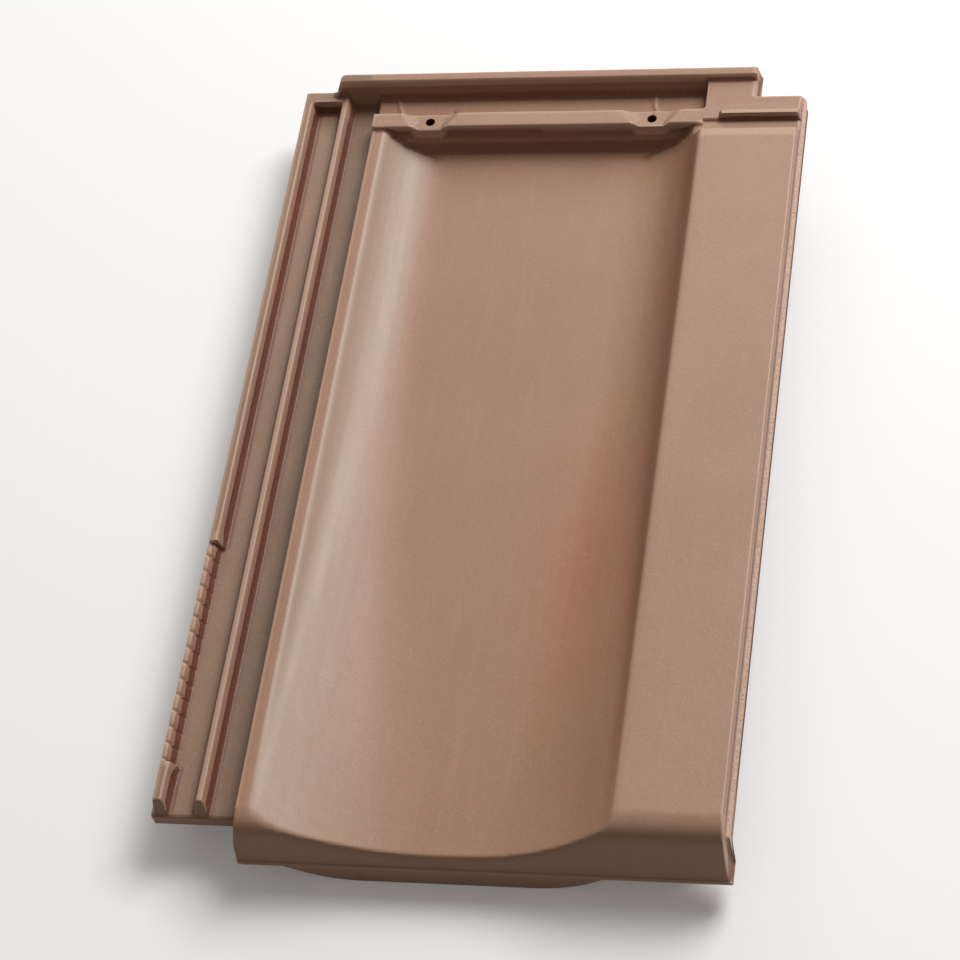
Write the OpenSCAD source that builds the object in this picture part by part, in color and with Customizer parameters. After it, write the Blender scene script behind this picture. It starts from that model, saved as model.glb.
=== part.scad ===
// Flat interlocking clay roof tile with a wide hollow pan.
// X runs across the tile, from the side lock on the left to the flat cover on the right.
// Y runs up the roof slope, from the foot to the head. Z is up from a level floor.
// The origin is on the floor, under the middle of the tile.

/* [Overall] */
// Length, from the front of the foot to the back of the head rib
tile_len = 494; // [420:1:600]
// Width, from the lock's outer edge to the edge of the cover
tile_w = 298; // [250:1:360]
// Height of the cover's flat top above the floor
tile_h = 50; // [46:1:62]

/* [Side lock] */
// Width of the flash outside the outer lock rib
side_flash_w = 1.5; // [0.5:0.1:3]
// Top width of the outer lock rib
outer_rib_w = 5.3; // [4:0.1:7]
// Top width of the inner lock rib
inner_rib_w = 3.8; // [3:0.1:6]
// Floor width of the outer channel
outer_channel_w = 13.6; // [11:0.1:18]
// Floor width of the inner channel
inner_channel_w = 15.5; // [12:0.1:20]
// Depth of the outer channel
outer_channel_d = 9; // [6:0.5:11]
// Depth of the inner channel
inner_channel_d = 10; // [6:0.5:12]
// Sideways run of a rib flank
flank_run = 2.1; // [1:0.1:3]
// How far the rib tops lie below the cover's top
rib_drop = 11; // [10:0.5:14]
// Clay under the inner channel
lock_t = 7.5; // [6:0.5:10]
// How far the lock's front end stands back from the foot
lock_setback = 19.7; // [14:0.1:30]

/* [Clip notches] */
// Number of clip notches in the outer rib
notch_count = 14; // [6:1:16]
// Distance from one clip notch to the next
notch_pitch = 9.4; // [8:0.1:11]
// Width of a clip notch
notch_w = 2; // [1:0.1:3]
// Depth of a clip notch
notch_d = 1.6; // [1:0.1:3]
// How much narrower the outer rib is beside the clip notches
comb_inset = 2; // [0.5:0.1:2]
// Front end of the narrow stretch, from the foot
comb_from_foot = 46.6; // [30:0.1:80]

/* [Pan] */
// Depth of the pan below the cover's top
pan_d = 24.5; // [18:0.5:28]
// Radius between the pan's floor and its sides
pan_r = 44; // [30:1:50]
// Steepest slope of the pan's left side, in degrees
left_slope = 54; // [40:1:60]
// Steepest slope of the pan's right side, in degrees
right_slope = 63; // [50:1:68]
// Clay under the pan's floor
pan_t = 11; // [9:0.5:14]
// Width of the lip between the inner channel and the pan
lip_w = 7.3; // [6:0.1:12]
// Sideways run of the wall from the inner channel up to the lip
lip_run = 1.5; // [1:0.1:5]
// How far the lip lies below the cover's top
lip_drop = 6.5; // [4:0.5:9]
// Rise from the middle of the broad hollow at the foot to the pan's left edge
mouth_left_rise = 17.7; // [14:0.1:22]
// Rise from the middle of that hollow to the pan's right edge
mouth_right_rise = 24.2; // [20:0.1:28]
// Power of the hollow's left curve, where 2 is a parabola
mouth_left_power = 1.8; // [1.5:0.1:3]
// Power of the hollow's right curve
mouth_right_power = 2.6; // [1.5:0.1:3]
// Slope of the hollow along the tile, in degrees
mouth_tilt = 1.95; // [1.5:0.05:3]

/* [Cover] */
// Width of the flat cover, from the pan's edge to its own edge
cover_w = 56.5; // [45:0.1:70]
// Clay under the cover's flat top
cover_t = 10; // [8:0.5:10]
// Width of the trimmed ledge round the cover's edge
ledge_w = 1.8; // [1:0.1:3]
// How far the ledge lies below the cover's top
ledge_drop = 9; // [7:0.5:12]
// How far the edge wall and the middle rib reach below the cover's top
cover_rib_drop = 19; // [14:0.5:20]
// Width of the edge wall and of the middle rib under the cover
cover_rib_w = 6.5; // [5:0.1:8]
// Distance between the edge wall and the middle rib, centre to centre
cover_rib_pitch = 25; // [22:0.5:30]

/* [Foot] */
// Radius from the cover's top down to the apron
apron_r = 14; // [8:1:20]
// Lean of the apron's face from upright, in degrees
apron_lean = 20; // [10:1:30]
// How far the moulding flash lies below the cover's top
flash_drop = 31; // [24:0.5:34]
// Height of the moulding flash
flash_h = 1.6; // [1:0.1:3]
// How far the flash stands out of the apron
flash_out = 1; // [0.5:0.1:2]
// Thickness of the apron wall at the underside of the cover
apron_t = 10; // [8:0.5:14]
// Thickness of the foot rib where it stands on the floor
foot_rib_t = 12; // [8:0.5:20]
// Width of the foot rib's flat base
foot_rib_w = 88; // [70:1:130]
// Radius at each end of the foot rib
foot_rib_r = 60; // [20:1:60]

/* [Head] */
// Top width of the head rib
head_rib_w = 5.5; // [4:0.1:9]
// Width of the head channel's floor
head_channel_w = 15; // [10:0.5:20]
// Depth of the head channel below the cover's top
head_channel_d = 14; // [10:0.5:16]
// Top width of the nail rib between the head channel and the pan
nail_rib_w = 10.6; // [8:0.1:14]
// How far the nail rib and the head platform lie below the cover's top
platform_drop = 4.3; // [3:0.1:6]
// Width of the groove across the cover, below the platform
groove_w = 10; // [6:0.5:14]
// Depth of that groove
groove_d = 6; // [4:0.1:6]
// Width of the rain bar between the groove and the platform
rain_bar_w = 4.2; // [3:0.1:6]
// How far the rain bar's top lies below the cover's top
rain_bar_drop = 0.8; // [0:0.1:2]
// Width of the corner left out at the head of the cover
corner_w = 26.3; // [20:0.1:34]
// Length of the corner left out at the head of the cover
corner_len = 15.8; // [10:0.1:22]
// Width of the rim that closes the lock's channels at the head
rim_w = 8; // [6:0.1:12]
// How far the rim stands back from the head's end
rim_setback = 4; // [2:0.1:10]

/* [Nail holes] */
// Diameter of a nail hole
nail_d = 5.5; // [4:0.1:7]
// Distance between the nail holes
nail_pitch = 129.3; // [90:0.1:140]
// How far the nail recess lies below the cover's top
recess_drop = 7; // [5:0.1:9]
// Width of the nail recess's floor
recess_w = 17; // [12:0.5:24]
// Sideways run of each end of the nail recess
recess_run = 6; // [3:0.5:9]

/* [Lugs] */
// Width of a hanging lug
lug_w = 36; // [24:1:50]
// Thickness of a hanging lug at its foot
lug_t = 12; // [8:0.5:16]
// Distance between the lugs' middles
lug_pitch = 110; // [80:1:130]
// How far the lugs stand back from the head's end
lug_setback = 8; // [4:0.5:14]

/* [Edges] */
// Radius of the sharper edges
edge_r = 1; // [0.5:0.1:1.2]
// Radius of the cover's long edge
cover_edge_r = 2; // [1:0.1:3]

/* [Hidden] */

// Enough to pass a cut clean through a face
over = 1;
// Straight pieces in each rounded corner of an outline
corner_steps = 3;
pan_steps = 10;
mouth_steps = 10;
clay = [0.65, 0.47, 0.38];

// Small runs and gaps of the mould
inside_run = 4;
under_r = 20;
cover_rib_run = 1.5;
pan_end_run = 6;
pan_end_r = 8;
mouth_start = 1;
rib_end_run = 4.3;
outer_flank_run = 0.5;
ledge_setback = 12.5;
cover_edge_lean = 4;
groove_run = 0.7;
rain_bar_step = 2.7;
nail_rib_run = 2;
head_wall_slope = 0.27;
rain_bar_setback = 9.5;
platform_reach = 1;
nail_offset = 2.3;
head_rib_lean = 4;
head_rib_end_r = 4;
lug_run = 1.5;
head_wall_t = 14;
cover_corner_r = 3.5;
foot_rib_slope = 40;
foot_rib_offset = 3;

x_left = -tile_w / 2;
x_right = tile_w / 2;
y_foot = -tile_len / 2;
y_head = tile_len / 2;

// Heights above the floor
z_rib = tile_h - rib_drop;
z_outer_channel = z_rib - outer_channel_d;
z_inner_channel = z_rib - inner_channel_d;
z_lock = z_inner_channel - lock_t;
z_lip = tile_h - lip_drop;
z_pan = tile_h - pan_d;
z_pan_under = z_pan - pan_t;
z_ledge = tile_h - ledge_drop;
z_cover_under = tile_h - cover_t;
z_cover_rib = tile_h - cover_rib_drop;
z_flash = tile_h - flash_drop;
z_platform = tile_h - platform_drop;
z_head_channel = tile_h - head_channel_d;
z_recess = tile_h - recess_drop;
z_wall = z_flash - 5.5;
z_head_under = z_head_channel - pan_t;

// Places across the tile, from left to right
x_outer_rib = x_left + side_flash_w + outer_flank_run;
x_outer_channel = x_outer_rib + outer_rib_w + flank_run;
x_inner_rib = x_outer_channel + outer_channel_w + flank_run;
x_inner_channel = x_inner_rib + inner_rib_w + flank_run;
x_lip_foot = x_inner_channel + inner_channel_w;
x_lip = x_lip_foot + lip_run;
x_pan_left = x_lip + lip_w;
x_pan_right = x_right - cover_w;
x_ledge = x_right - ledge_w;
x_edge_rib = x_right - ledge_w / 2 - cover_rib_w;
x_mid_rib = x_edge_rib - cover_rib_pitch;

// Places along the tile, from the head down to the pan
y_head_wall = y_head - head_rib_w;
head_wall_run = head_wall_slope * head_channel_d;
y_channel_back = y_head_wall - head_wall_run;
y_channel_front = y_channel_back - head_channel_w;
y_nail_rib_back = y_channel_front - nail_rib_run;
y_nail_rib = y_nail_rib_back - nail_rib_w;
y_rain_bar = y_nail_rib + rain_bar_step;
y_groove = y_rain_bar - groove_w;

// The apron's arc ends at y_arc_end, above its leaning face
y_flash = y_foot + flash_out;
y_lock = y_foot + lock_setback;
arc_drop = apron_r * (1 - sin(apron_lean));
y_arc_end = y_flash + (flash_drop - arc_drop) * tan(apron_lean);

function unit(v) = v / norm(v);
function turned(v, a) = [v.x * cos(a) - v.y * sin(a), v.x * sin(a) + v.y * cos(a)];

// The corner q between p and s, rounded to radius r with n straight pieces
function rounded_corner(p, q, s, r, n) =
    let (
        u = unit(p - q),
        v = unit(s - q),
        half = acos(u * v) / 2,
        centre = q + unit(u + v) * r / sin(half),
        from = q + u * r / tan(half) - centre,
        side = u.x * v.y - u.y * v.x > 0 ? 1 : -1
    )
    [for (i = [0:n]) centre + turned(from, -side * (180 - 2 * half) * i / n)];

// An outline from corners [x, y] or [x, y, radius] or [x, y, radius, pieces]
function rounded(corners) = [
    for (i = [0:len(corners) - 1])
        let (
            c = corners[i],
            before = corners[(i + len(corners) - 1) % len(corners)],
            after = corners[(i + 1) % len(corners)]
        )
        each len(c) == 2 ? [c] :
            rounded_corner([before.x, before.y], [c.x, c.y], [after.x, after.y],
                c[2], len(c) == 4 ? c[3] : corner_steps)
];

// A corner where the pan's floor meets a side of the given slope
function pan_corner_x(x_edge, rise, slope, way) = x_edge - way * rise / tan(slope);

// The corners under the pan's right side
x_under_right = pan_corner_x(x_pan_right, pan_d, right_slope, 1) + pan_t * tan(right_slope / 2);
x_cover_under = x_under_right + (z_cover_under - z_pan_under) / tan(right_slope);

// Children drawn in X and Z, drawn out along Y
module along_y(y0, y1) {
    translate([0, y1, 0])
        rotate([90, 0, 0])
            linear_extrude(y1 - y0) children();
}

// Children drawn in Y and Z, drawn out along X
module along_x(x0, x1) {
    translate([x0, 0, 0])
        rotate([90, 0, 90])
            linear_extrude(x1 - x0) children();
}

// The whole cross-section, with the pan still filled
module tile_section() {
    x_under_left = pan_corner_x(x_pan_left, z_lip - z_pan, left_slope, -1) - pan_t * tan(left_slope / 2);
    polygon(rounded([
        [x_left, z_lock, edge_r],
        [x_left, z_outer_channel],
        [x_left + side_flash_w, z_outer_channel],
        [x_outer_rib, z_rib, edge_r],
        [x_outer_rib + outer_rib_w, z_rib, edge_r],
        [x_outer_channel, z_outer_channel, edge_r],
        [x_outer_channel + outer_channel_w, z_outer_channel, edge_r],
        [x_inner_rib, z_rib, edge_r],
        [x_inner_rib + inner_rib_w, z_rib, edge_r],
        [x_inner_channel, z_inner_channel, edge_r],
        [x_lip_foot, z_inner_channel, edge_r],
        [x_lip, z_lip, edge_r],
        [0, z_lip],
        [0, tile_h],
        [x_ledge - ledge_drop * tan(cover_edge_lean), tile_h, cover_edge_r],
        [x_ledge, z_ledge],
        [x_right, z_ledge],
        [x_right - ledge_w / 2, z_cover_rib, edge_r],
        [x_edge_rib, z_cover_rib, edge_r],
        [x_edge_rib - cover_rib_run, z_cover_under, edge_r],
        [x_mid_rib + cover_rib_w + cover_rib_run, z_cover_under, edge_r],
        [x_mid_rib + cover_rib_w, z_cover_rib, edge_r],
        [x_mid_rib, z_cover_rib, edge_r],
        [x_mid_rib - cover_rib_run, z_cover_under, edge_r],
        [x_cover_under, z_cover_under, edge_r],
        [x_under_right, z_pan_under, under_r, pan_steps],
        [x_under_left, z_pan_under, under_r, pan_steps],
        [x_under_left - (z_lock - z_pan_under) / tan(left_slope), z_lock, edge_r]
    ]));
}

// Side view of the plate up to the height z_top: the apron in front, open to the head
module apron_profile(z_top) {
    y_corner = y_flash + (z_top - z_flash) * tan(apron_lean);
    polygon(rounded([
        [y_flash, -over],
        [y_flash, z_flash - flash_h],
        [y_foot, z_flash - flash_h],
        [y_foot, z_flash],
        [y_flash, z_flash],
        [y_corner, z_top, apron_r, pan_steps],
        [y_head + over, z_top],
        [y_head + over, -over]
    ]));
}

// Side view of the wall that closes the foot under the apron
module foot_wall_profile() {
    y_inside = y_arc_end + apron_t;
    polygon([
        [y_foot, z_wall],
        [y_inside - inside_run, z_wall],
        [y_inside, z_cover_under + over],
        [y_foot, z_cover_under + over]
    ]);
}

// The rib that the foot stands on, shaped to drop into the pan of the tile below
module foot_rib() {
    x_mid = (x_pan_left + x_pan_right) / 2 + foot_rib_offset;
    half_w = foot_rib_w / 2 + foot_rib_r * tan(foot_rib_slope / 2);
    top_w = half_w + z_pan_under / tan(foot_rib_slope);
    intersection() {
        along_y(y_flash, y_head)
            polygon(rounded([
                [x_mid - half_w, 0, foot_rib_r, pan_steps],
                [x_mid - top_w, z_pan_under + over],
                [x_mid + top_w, z_pan_under + over],
                [x_mid + half_w, 0, foot_rib_r, pan_steps]
            ]));
        along_x(x_left, x_right)
            polygon([
                [y_flash, -over],
                [y_flash + foot_rib_t, -over],
                [y_flash + foot_rib_t, 0],
                [y_flash + foot_rib_t + inside_run, z_pan_under + over],
                [y_flash, z_pan_under + over]
            ]);
    }
}

// One point of the hollow's curve, where t is 1 at the pan's edge
function mouth_point(x_edge, rise, power, t) = [x_edge * t, rise * pow(t, power)];

// The hollow's cross-section: two curves that share their lowest point, at the origin
module mouth_section() {
    half_w = (x_pan_right - x_pan_left) / 2;
    reach = 1.2;
    z_close = 3 * mouth_right_rise;
    polygon(concat(
        [for (i = [mouth_steps:-1:1])
            mouth_point(-half_w, mouth_left_rise, mouth_left_power, reach * i / mouth_steps)],
        [for (i = [0:mouth_steps])
            mouth_point(half_w, mouth_right_rise, mouth_right_power, reach * i / mouth_steps)],
        [[reach * half_w, z_close], [-reach * half_w, z_close]]
    ));
}

// The pan: a trough with round sides, running out into a broad hollow at the foot
module pan_cut() {
    x_mid = (x_pan_left + x_pan_right) / 2;
    rise = 20;
    z_top = tile_h + rise;
    intersection() {
        along_y(y_foot - over, y_head)
            polygon(rounded([
                [x_pan_left - (z_top - z_lip) / tan(left_slope), z_top],
                [x_pan_left + (z_lip - z_pan) / tan(left_slope), z_pan, pan_r, pan_steps],
                [x_pan_right - pan_d / tan(right_slope), z_pan, pan_r, pan_steps],
                [x_pan_right + rise / tan(right_slope), z_top]
            ]));
        along_x(x_left, x_right)
            polygon(rounded([
                [y_foot - over, z_pan - over],
                [y_nail_rib - pan_end_run, z_pan - over, pan_end_r, pan_steps],
                [y_nail_rib, z_platform],
                [y_nail_rib, z_top],
                [y_foot - over, z_top]
            ]));
        translate([x_mid, y_flash, z_pan + mouth_start])
            rotate([-mouth_tilt, 0, 0])
                along_y(-tile_len / 2, 2 * tile_len) mouth_section();
    }
}

// Takes the lock's front end back from the foot, with a slope on the ends of its ribs
module lock_front_cut() {
    along_x(x_left - over, x_lip_foot)
        polygon([
            [y_foot - over, -over],
            [y_lock - flash_out, -over],
            [y_lock - flash_out, z_inner_channel],
            [y_lock, z_inner_channel],
            [y_lock + rib_end_run, z_rib + over],
            [y_foot - over, z_rib + over]
        ]);
}

// The stretch where the outer rib is narrower, with a notch at each place for a storm clip
module comb_cut() {
    y_comb = y_foot + comb_from_foot;
    comb_len = notch_count * notch_pitch;
    x_inset = x_outer_rib + outer_rib_w - comb_inset;
    along_y(y_comb, y_comb + comb_len)
        polygon([
            [x_inset, z_rib + over],
            [x_inset, z_rib],
            [x_inset + flank_run, z_outer_channel + over],
            [x_outer_channel + over, z_rib + over]
        ]);
    for (i = [0:notch_count - 1])
        translate([x_left, y_comb + (i + 0.5) * notch_pitch, z_rib - notch_d])
            cube([x_outer_channel - x_left, notch_w, notch_d + over]);
}

// Side view of the space above the head, from the nail rib to the end, cut down to the channel
module head_clearing_profile() {
    polygon([
        [y_nail_rib, z_head_channel],
        [y_head + over, z_head_channel],
        [y_head + over, tile_h + over],
        [y_nail_rib, tile_h + over]
    ]);
}

// Side view of the nail rib
module nail_rib_profile() {
    polygon(rounded([
        [y_nail_rib, z_pan_under + over],
        [y_nail_rib, z_platform, edge_r],
        [y_nail_rib_back, z_platform, edge_r],
        [y_channel_front, z_head_channel],
        [y_channel_front, z_pan_under + over]
    ]));
}

// The rib along the head's end, with its front sloping down into the lock's inner channel
module head_rib() {
    x_end = x_right - corner_w - ledge_w;
    intersection() {
        along_x(x_left, x_right)
            polygon(rounded([
                [y_head_wall - head_wall_slope * (tile_h - z_lock), z_lock],
                [y_head_wall, tile_h, edge_r],
                [y_head, tile_h, edge_r],
                [y_head, z_lock]
            ]));
        along_y(y_channel_front, y_head)
            polygon(rounded([
                [x_inner_rib - head_rib_lean, z_lock],
                [x_inner_rib - head_rib_lean, z_rib],
                [x_inner_rib, tile_h, head_rib_end_r],
                [x_end, tile_h, head_rib_end_r],
                [x_end, z_lock]
            ]));
    }
}

// Side view of what is cut from the cover's head: the groove, and the platform behind it
module platform_cut_profile(with_rain_bar) {
    z_bar = with_rain_bar ? tile_h - rain_bar_drop : z_platform;
    polygon(rounded([
        [y_groove, tile_h + over],
        [y_groove, tile_h],
        [y_groove + groove_run, tile_h - groove_d, edge_r],
        [y_rain_bar, tile_h - groove_d],
        [y_rain_bar, z_bar],
        [y_rain_bar + rain_bar_w, z_bar],
        [y_rain_bar + rain_bar_w, z_platform],
        [y_head + over, z_platform],
        [y_head + over, tile_h + over]
    ]));
}

module platform_cut() {
    x_bar = x_pan_right + rain_bar_setback;
    along_x(x_pan_right - platform_reach, x_bar) platform_cut_profile(false);
    along_x(x_bar, x_right + over) platform_cut_profile(true);
}

// Outline of the left-out corner at the head of the cover, grown by the given margin
module corner_outline(margin) {
    x_corner = x_right - corner_w - margin;
    y_corner = y_head - corner_len - margin;
    polygon(rounded([
        [x_corner, y_head + over],
        [x_corner, y_corner],
        [x_right - margin, y_corner, cover_corner_r],
        [x_right - margin, y_corner - 2 * cover_corner_r],
        [x_right + over, y_corner - 2 * cover_corner_r],
        [x_right + over, y_head + over]
    ]));
}

// The left-out corner, with the ledge carried round it
module corner_cut() {
    translate([0, 0, -over])
        linear_extrude(tile_h + 2 * over) corner_outline(0);
    translate([0, 0, z_ledge])
        linear_extrude(ledge_drop + over) corner_outline(ledge_w);
}

// Ends the cover's side ledge short of the foot, above the flash
module ledge_end_cut() {
    translate([x_ledge, y_foot - over, z_flash])
        cube([ledge_w + over, ledge_setback + over, tile_h]);
}

// Leaves the hollows under the cover open at the head
module cover_end_cut() {
    translate([x_cover_under, y_head - corner_len, -over])
        cube([x_right - x_cover_under + over, corner_len + over, z_cover_under + over]);
}

// Frees the lock's head end behind the rim, left of the head rib
module rim_cut() {
    translate([x_left - over, y_head - rim_setback, -over])
        cube([x_inner_rib - head_rib_lean - x_left + over, rim_setback + over, tile_h + 2 * over]);
}

// The hollow under the nail rib and the head channel
module head_under_cut() {
    translate([x_lip_foot, y_nail_rib + head_wall_t, -over])
        cube([x_pan_right - x_lip_foot + over, tile_len, z_head_under + over]);
}

// A through hole with a wide-mouthed recess in the nail rib
module nail_hole_cut() {
    z_top = tile_h + over;
    run = recess_run * (z_top - z_recess) / (z_platform - z_recess);
    along_y(y_nail_rib - over, y_channel_front)
        polygon([
            [-recess_w / 2 - run, z_top],
            [-recess_w / 2, z_recess],
            [recess_w / 2, z_recess],
            [recess_w / 2 + run, z_top]
        ]);
    translate([0, y_nail_rib + nail_rib_w / 2, -over])
        cylinder(h = tile_h + 2 * over, d = nail_d, $fn = 48);
}

// A lug that hangs on the batten by its upright front face
module lug() {
    along_x(-lug_w / 2, lug_w / 2)
        polygon(rounded([
            [y_head - lug_setback - lug_t, 0, edge_r],
            [y_head - lug_setback - lug_t, z_head_under + over],
            [y_head - lug_setback + lug_run, z_head_under + over],
            [y_head - lug_setback, 0, edge_r]
        ]));
}

// The moulded plate from the apron to the head's end, before the head's ribs are added
module plate() {
    difference() {
        intersection() {
            union() {
                along_y(y_foot, y_head) tile_section();
                along_x(x_lip_foot, x_right - ledge_w / 2) foot_wall_profile();
            }
            union() {
                along_x(x_left - over, 0) apron_profile(z_lip);
                along_x(0, x_right + over) apron_profile(tile_h);
            }
        }
        pan_cut();
        lock_front_cut();
        comb_cut();
        ledge_end_cut();
        platform_cut();
        head_under_cut();
        along_x(x_lip_foot - over, x_pan_right - platform_reach) head_clearing_profile();
    }
}

// The rim that closes the two channels of the lock at the head
module lock_rim() {
    translate([x_outer_rib, y_head - rim_setback - rim_w, z_lock])
        cube([x_inner_rib - x_outer_rib, rim_w, z_rib - z_lock]);
}

module roof_tile() {
    color(clay)
        difference() {
            union() {
                plate();
                foot_rib();
                along_x(x_lip_foot, x_pan_right) nail_rib_profile();
                head_rib();
                lock_rim();
                for (side = [-1, 1])
                    translate([side * lug_pitch / 2, 0, 0]) lug();
            }
            corner_cut();
            cover_end_cut();
            rim_cut();
            for (side = [-1, 1])
                translate([side * nail_pitch / 2 - nail_offset, 0, 0]) nail_hole_cut();
        }
}

roof_tile();
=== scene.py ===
"""Looks of a flat interlocking clay roof tile: one moulded body in fired clay with a matt engobe.

The body is two height maps, the top and the underside, sampled on lines that crowd at its edges.
Sizes are in millimetres in the same frame as the CAD, and become metres when the mesh is made.
"""

import math

import bpy
import numpy as np
from mathutils import Matrix, Vector


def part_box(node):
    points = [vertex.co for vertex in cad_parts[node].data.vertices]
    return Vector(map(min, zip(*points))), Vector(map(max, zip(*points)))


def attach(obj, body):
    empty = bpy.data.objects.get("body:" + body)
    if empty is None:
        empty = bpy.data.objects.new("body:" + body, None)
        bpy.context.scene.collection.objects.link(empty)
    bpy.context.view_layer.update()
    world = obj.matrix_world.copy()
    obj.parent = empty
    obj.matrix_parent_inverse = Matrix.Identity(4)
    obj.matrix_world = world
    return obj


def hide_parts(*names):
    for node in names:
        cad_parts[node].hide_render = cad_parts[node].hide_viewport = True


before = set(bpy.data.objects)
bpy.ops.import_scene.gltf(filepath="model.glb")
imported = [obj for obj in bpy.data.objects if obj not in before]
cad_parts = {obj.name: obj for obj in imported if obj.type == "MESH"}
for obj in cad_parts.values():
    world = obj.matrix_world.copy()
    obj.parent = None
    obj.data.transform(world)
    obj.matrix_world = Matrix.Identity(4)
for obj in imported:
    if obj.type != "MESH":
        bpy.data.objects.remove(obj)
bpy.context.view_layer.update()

MM = 0.001
# Step of the fine height maps, the blur that rounds their edges, and the one that finds the arrises and
# creases where highlights and shade are painted
FINE = 0.4
BLUR = 0.45
EDGE_SHADE_BLUR = 0.5
# How far a sloping line is drawn on past its visible end
OVER = 30.0

# The CAD box: half the width and length, and the height of the cover's top
low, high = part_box("roof_tile")
HALF_W = (high[0] - low[0]) / 2 / MM
HALF_L = (high[1] - low[1]) / 2 / MM
TOP = (high[2] - low[2]) / MM

# Thickness of the clay, and the run of a lock rib's sloping flank
WALL = 11
FLANK = 2.1
# The pan's sides: their slopes, the radius at their foot, and the shifts that soften where it begins
LEFT_SLOPE = math.radians(54)
RIGHT_SLOPE = math.radians(63)
PAN_ROUND = 44
PAN_SHIFTS = (-9, -6, -3, 0, 3, 6, 9)
# The hollow at the pan's foot: its fall, and on each side its rise and the power of its curve
MOUTH_FALL = math.radians(1.95)
MOUTH_LEFT = (17.7, 1.8)
MOUTH_RIGHT = (24.2, 2.6)
# The front face: how far it leans, its fillet, and how its creases with the pan are rounded
APRON_LEAN = math.radians(20)
APRON_ROUND = 14
MOUTH_CREASE = 3.0
APRON_CREASE = 2.0
# Runs of the lock's front, the head rib's front and the ledge's step
LOCK_FRONT_RUN = 4.3
HEAD_RIB_RUN = 3.78
LEDGE_RUN = 0.6
# The ribs under the cover: width of the middle one, and run of their flanks
UNDER_RIB_W = 6.5
UNDER_RIB_RUN = 1.5
# The foot rib: half its straight length, its end radius and slope
FOOT_HALF = 44
FOOT_ROUND = 60
FOOT_END_SLOPE = math.radians(40)

# Heights above the floor
Z_RIB = TOP - 11
Z_OUTER = Z_RIB - 9
Z_INNER = Z_RIB - 10
Z_LOCK = Z_INNER - 7.5
Z_LIP = TOP - 6.5
Z_PAN = TOP - 24.5
Z_PAN_UNDER = Z_PAN - WALL
Z_LEDGE = TOP - 9
Z_COVER_UNDER = TOP - 10
Z_COVER_RIB = TOP - 19
Z_FLASH = TOP - 31
Z_FLASH_UNDER = Z_FLASH - 1.6
Z_WALL = Z_FLASH - 5.5
Z_PLATFORM = TOP - 4.3
Z_HEAD_CHANNEL = TOP - 14
Z_GROOVE = TOP - 6
Z_RAIN_BAR = TOP - 0.8
Z_RECESS = TOP - 6.9
Z_HEAD_UNDER = Z_HEAD_CHANNEL - WALL

# Places across the tile
X_RIB = -HALF_W + 2
X_RIB_IN = X_RIB + 5.3
X_OUTER = X_RIB_IN + FLANK
X_OUTER_IN = X_OUTER + 13.6
X_INNER_RIB = X_OUTER_IN + FLANK
X_INNER_RIB_IN = X_INNER_RIB + 3.8
X_INNER = X_INNER_RIB_IN + FLANK
X_LIP_FOOT = X_INNER + 15.5
X_LIP = X_LIP_FOOT + 1.5
X_PAN_LEFT = X_LIP + 7.3
X_PAN_RIGHT = HALF_W - 56.5
X_PAN_MID = (X_PAN_LEFT + X_PAN_RIGHT) / 2
X_PLATFORM = X_PAN_RIGHT - 1
X_RAIN_BAR = X_PAN_RIGHT + 9.5
X_LEDGE = HALF_W - 1.8
X_CORNER = HALF_W - 26.3
X_CORNER_LEDGE = X_CORNER - 1.8
X_HEAD_RIB = X_INNER_RIB - 4
X_FLOOR_LEFT = X_PAN_LEFT + (Z_LIP - Z_PAN) / math.tan(LEFT_SLOPE)
X_FLOOR_RIGHT = X_PAN_RIGHT - (TOP - Z_PAN) / math.tan(RIGHT_SLOPE)
X_UNDER_LEFT = X_FLOOR_LEFT - WALL * math.tan(LEFT_SLOPE / 2)
X_UNDER_RIGHT = X_FLOOR_RIGHT + WALL * math.tan(RIGHT_SLOPE / 2)
X_COVER_UNDER = X_UNDER_RIGHT + (Z_COVER_UNDER - Z_PAN_UNDER) / math.tan(RIGHT_SLOPE)
X_EDGE_RIB = HALF_W - 7.4
X_MID_RIB = X_EDGE_RIB - 25
X_MID_RIB_IN = X_MID_RIB + UNDER_RIB_W
X_FOOT = X_PAN_MID + 3

# Places along the tile
Y_FLASH = -HALF_L + 1
Y_LEDGE = -HALF_L + 12.5
Y_LOCK = -HALF_L + 19.7
Y_LOCK_EDGE = Y_LOCK - 1
Y_WALL_BACK = -HALF_L + 18.93
Y_WALL_FRONT = Y_WALL_BACK - 4
Y_FOOT_BACK = Y_FLASH + 12
Y_COMB = -HALF_L + 46.6
Y_HEAD_RIB = HALF_L - 5.5
Y_CHANNEL_BACK = Y_HEAD_RIB - HEAD_RIB_RUN
Y_CHANNEL = Y_CHANNEL_BACK - 15
Y_NAIL_RIB_BACK = Y_CHANNEL - 2
Y_NAIL_RIB = Y_NAIL_RIB_BACK - 10.6
Y_RAIN_BAR = Y_NAIL_RIB + 2.7
Y_RAIN_BAR_BACK = Y_RAIN_BAR + 4.2
Y_GROOVE = Y_RAIN_BAR - 10
Y_HEAD_UNDER = Y_NAIL_RIB + 14
Y_CORNER = HALF_L - 15.8
Y_CORNER_LEDGE = Y_CORNER - 1.8
Y_RIM = HALF_L - 4
Y_RIM_IN = HALF_L - 12
Y_LUG = HALF_L - 20
Y_LUG_BACK = Y_LUG + 12.8

# The clip comb in the outer rib: notches, scalloped bays between them, and the block at its foot
NOTCHES = 14
NOTCH_PITCH = 9.4
NOTCH_D = 1.7
NOTCH_AT = 0.06
NOTCH_REACH = 0.075
COMB_INSET = 2.0
SCALLOP_D = 0.7
BLOCK_L = 6
BLOCK_PROUD = 0.5
Y_COMB_END = Y_COMB + NOTCHES * NOTCH_PITCH
Y_END_NOTCH = Y_COMB_END - 2.6
END_NOTCH_D = 3

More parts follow.
